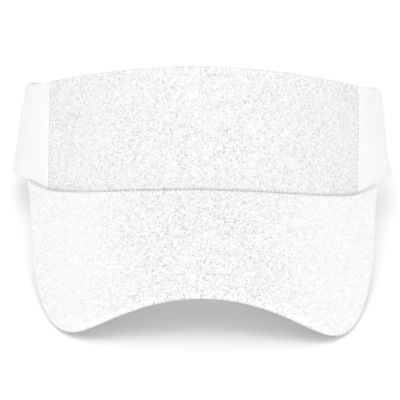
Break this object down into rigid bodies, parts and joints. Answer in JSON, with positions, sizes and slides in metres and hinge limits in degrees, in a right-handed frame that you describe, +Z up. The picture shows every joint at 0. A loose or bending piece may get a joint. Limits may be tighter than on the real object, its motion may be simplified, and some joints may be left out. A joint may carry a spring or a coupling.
{
  "type": "sun visor",
  "caption": "Sun visor: open-topped cloth headband with a stiffened front panel, padded sweatband, curved covered brim and a hook-and-loop strap at the back.",
  "frame": {"origin": "on the table the visor rests on, under the middle of its bounding box", "axes": "+Z up from the table, -Y to the front where the brim points, +X to the wearer's left, which is the viewer's right from the front"},
  "size_m": [0.1994, 0.2466, 0.101],
  "materials": {
    "linen_cloth": "plain-woven slub linen, matt",
    "cotton_cloth": "fine cotton twill, matt",
    "lining_cloth": "plain-woven cotton, matt",
    "buckram": "stiffened open-weave cotton",
    "sweat_cloth": "looped cotton towelling",
    "foam": "soft open-cell foam",
    "tape": "narrow cotton tape",
    "label_satin": "woven satin, blank",
    "brim_board": "moulded polyethylene sheet",
    "hook_tape": "nylon hooks on woven tape",
    "loop_tape": "brushed nylon loops on woven tape"
  },
  "bodies": {
    "front": {"front_panel": "linen_cloth", "front_stiffener": "buckram", "front_lining": "lining_cloth", "sweatband_cover_front": "sweat_cloth", "sweatband_foam_front": "foam", "right_panel_front": "cotton_cloth", "left_panel_front": "cotton_cloth", "right_lining_front": "lining_cloth", "left_lining_front": "lining_cloth", "right_seam_tape": "tape", "left_seam_tape": "tape", "care_label": "label_satin", "brim_board": "brim_board", "brim_top_cover": "linen_cloth", "brim_under_cover": "linen_cloth"},
    "right_arm": {"right_side_panel": "cotton_cloth", "right_side_lining": "lining_cloth", "right_sweatband_foam": "foam", "right_sweatband_cover": "sweat_cloth"},
    "left_arm": {"left_side_panel": "cotton_cloth", "left_side_lining": "lining_cloth", "left_sweatband_foam": "foam", "left_sweatband_cover": "sweat_cloth"},
    "left_strap": {"loop_strap": "cotton_cloth", "loop_patch": "loop_tape"},
    "right_strap": {"hook_strap": "cotton_cloth"},
    "hook_tab": {"hook_tab": "cotton_cloth", "hook_patch": "hook_tape"}
  },
  "joints": [
    {"name": "right_side_flex", "type": "hinge", "parent": "front", "child": "right_arm", "pos_m": [0.08871, 0.00205, 0.03401], "axis": [0, -0.2115, -0.9774], "range_deg": [-3, 16]},
    {"name": "left_side_flex", "type": "hinge", "parent": "front", "child": "left_arm", "pos_m": [-0.08871, 0.00205, 0.03401], "axis": [0, 0.2115, 0.9774], "range_deg": [-3, 16]},
    {"name": "right_strap_flex", "type": "hinge", "parent": "right_arm", "child": "right_strap", "pos_m": [0.042, 0.11707, 0.00913], "axis": [0, 0.2115, 0.9774], "range_deg": [-3, 16]},
    {"name": "left_strap_flex", "type": "hinge", "parent": "left_arm", "child": "left_strap", "pos_m": [-0.042, 0.11707, 0.00913], "axis": [0, -0.2115, -0.9774], "range_deg": [-3, 16]},
    {"name": "hook_tab_peel", "type": "hinge", "parent": "right_strap", "child": "hook_tab", "pos_m": [0.01, 0.1209, 0.01214], "axis": [0, -0.2115, -0.9774], "range_deg": [0, 150]}
  ],
  "couplings": [
    {"joint": "left_side_flex", "follows": "right_side_flex", "ratio": 1},
    {"joint": "right_strap_flex", "follows": "right_side_flex", "ratio": 1},
    {"joint": "left_strap_flex", "follows": "right_side_flex", "ratio": 1}
  ]
}
